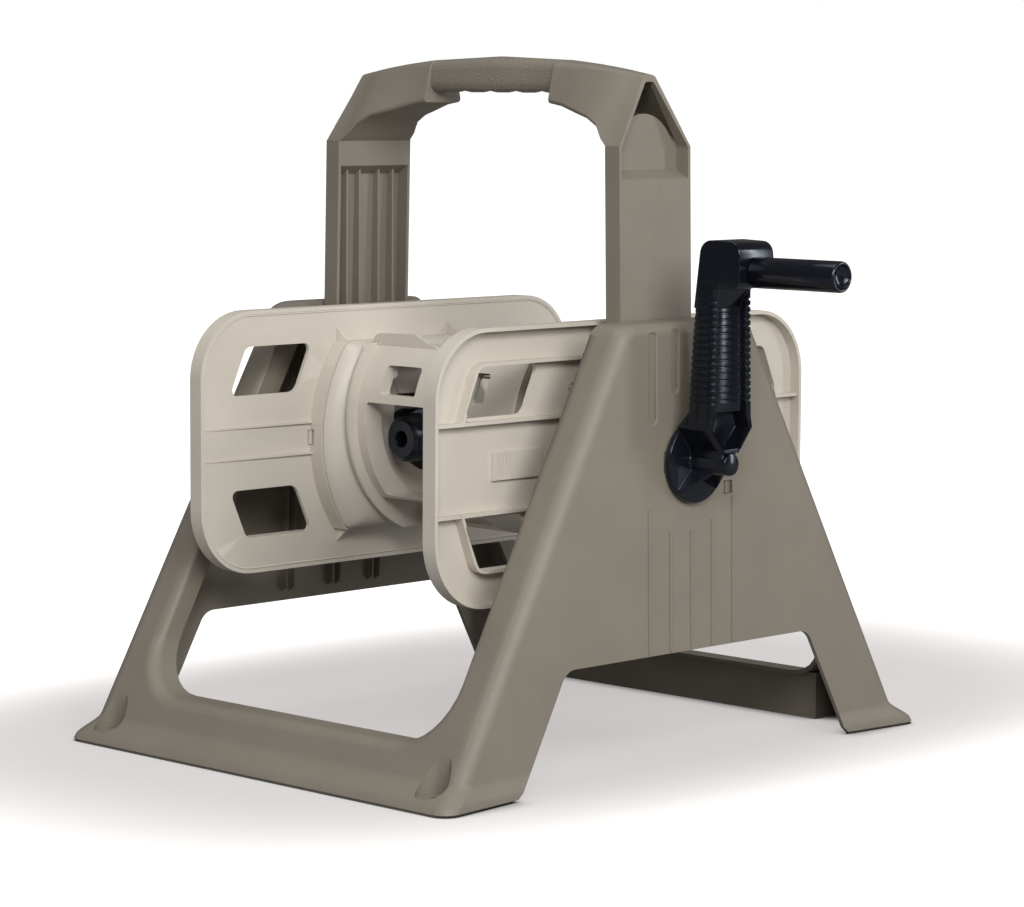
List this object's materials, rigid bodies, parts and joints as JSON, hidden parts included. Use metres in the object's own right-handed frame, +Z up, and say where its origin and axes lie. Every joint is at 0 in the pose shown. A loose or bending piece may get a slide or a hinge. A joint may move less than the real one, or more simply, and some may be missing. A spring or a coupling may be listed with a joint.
{
  "type": "hose reel",
  "caption": "Portable garden hose reel: taupe A-frame base and carry handle, tan oblong reel with windowed flanges, black crank with a turning grip, hose inlet and outlet; no hose.",
  "frame": {"origin": "on the floor, at the centre of the four ground-anchor holes", "axes": "+X along the reel's axis towards the crank, -Y towards the front, +Z up"},
  "size_m": [0.5869, 0.542, 0.533],
  "materials": {
    "taupe_plastic": "satin moulded, with grained grip",
    "tan_plastic": "satin moulded",
    "black_plastic": "gloss",
    "steel": "zinc plated",
    "rubber": "matte"
  },
  "bodies": {
    "frame": {"base_frame": "taupe_plastic", "carry_handle": "taupe_plastic", "handle_screws": "steel", "crank_side_bushing": "tan_plastic", "inlet_side_bushing": "tan_plastic", "inlet_tube": "black_plastic", "inlet_screws": "steel", "tube_seals": "rubber"},
    "reel": {"crank_side_flange": "tan_plastic", "inlet_side_flange": "tan_plastic", "front_drum_shell": "tan_plastic", "rear_drum_shell": "tan_plastic", "flange_screws": "steel", "flange_latches": "tan_plastic", "outlet_tube": "black_plastic", "tube_lock_nut": "black_plastic", "lock_washer": "rubber", "crank_arm": "black_plastic", "crank_screw": "steel", "crank_washer": "steel", "grip_pin": "steel"},
    "grip": {"crank_grip": "black_plastic"}
  },
  "joints": [
    {"name": "reel_spin", "type": "hinge", "parent": "frame", "child": "reel", "pos_m": [0, 0, 0.232], "axis": [1, 0, 0], "continuous": true},
    {"name": "grip_spin", "type": "hinge", "parent": "reel", "child": "grip", "pos_m": [0.3, 0, 0.3753], "axis": [1, 0, 0], "continuous": true}
  ]
}
